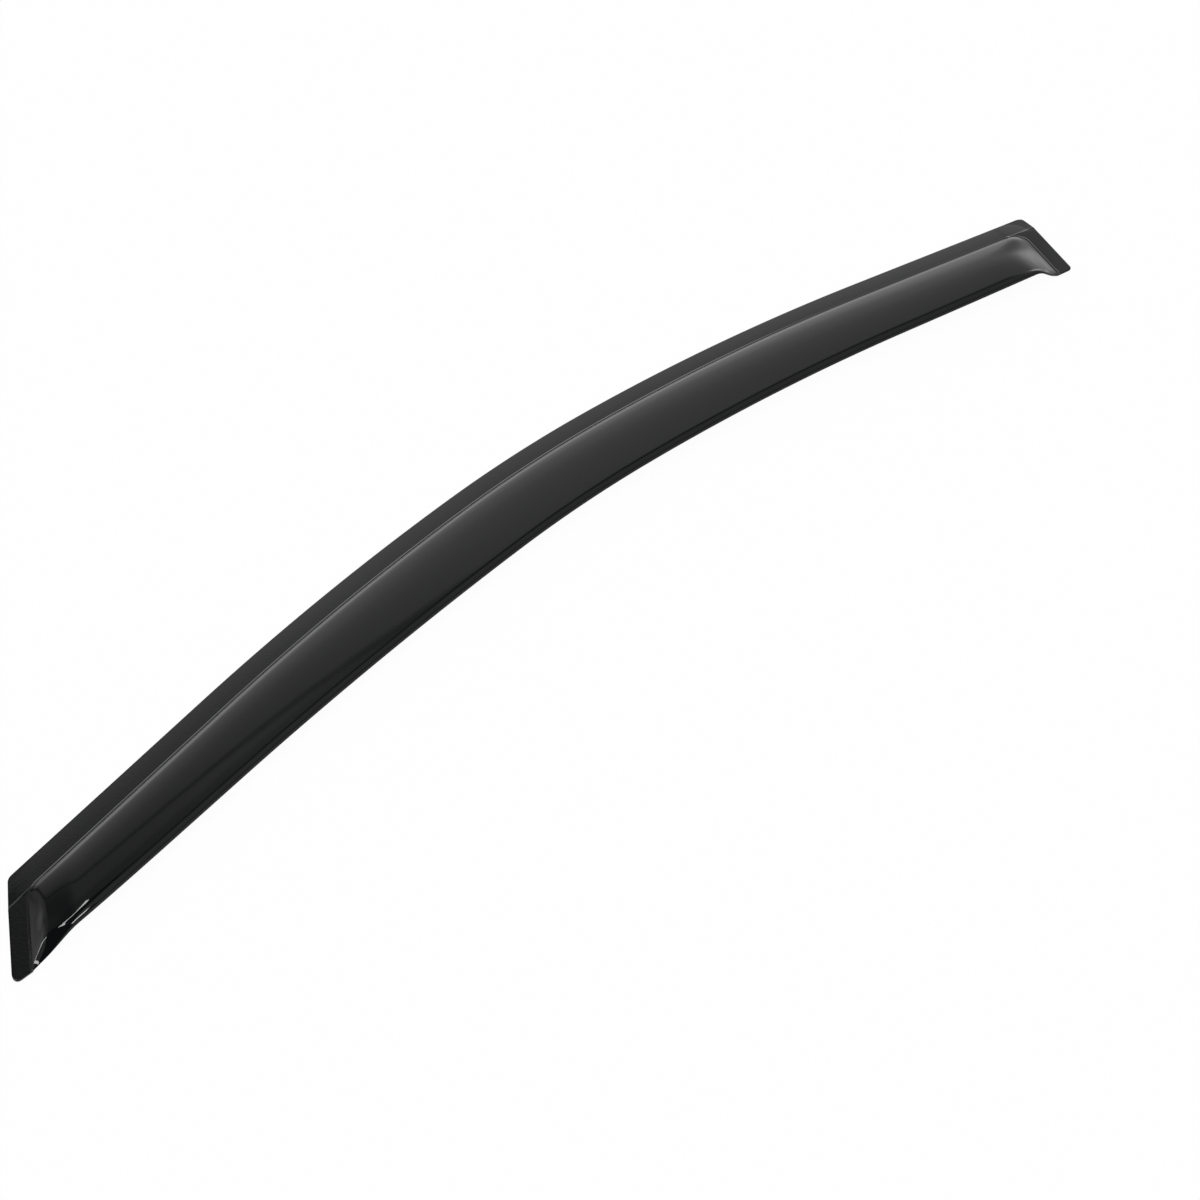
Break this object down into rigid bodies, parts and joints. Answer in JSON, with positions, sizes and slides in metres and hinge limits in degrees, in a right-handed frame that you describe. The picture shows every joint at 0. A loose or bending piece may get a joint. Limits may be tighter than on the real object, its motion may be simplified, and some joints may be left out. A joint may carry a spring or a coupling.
{
  "type": "window rain deflector",
  "caption": "Long curved car door window deflector: a thin dark moulded shell with a hollow bulge, open lower lip, mounting band and end flanges backed by foam tape.",
  "frame": {"origin": "centre of the bounding box in plan, on the plane that the part lies on", "axes": "+X from the front end to the rear end along the chord of the top edge, +Y towards the top edge, +Z out of the outer face"},
  "size_m": [1.0757, 0.1516, 0.0188],
  "materials": {
    "smoke_acrylic": "dark smoke acrylic, moulded glossy, so dark that it reads as black",
    "foam_tape": "matt dark grey acrylic foam tape",
    "liner_film": "thin red peel-off film with a soft sheen"
  },
  "bodies": {
    "root": {"deflector_shell": "smoke_acrylic", "top_tape": "foam_tape", "front_end_tape": "foam_tape", "rear_end_tape": "foam_tape", "top_tape_liner": "liner_film", "front_end_tape_liner": "liner_film", "rear_end_tape_liner": "liner_film"}
  },
  "joints": []
}
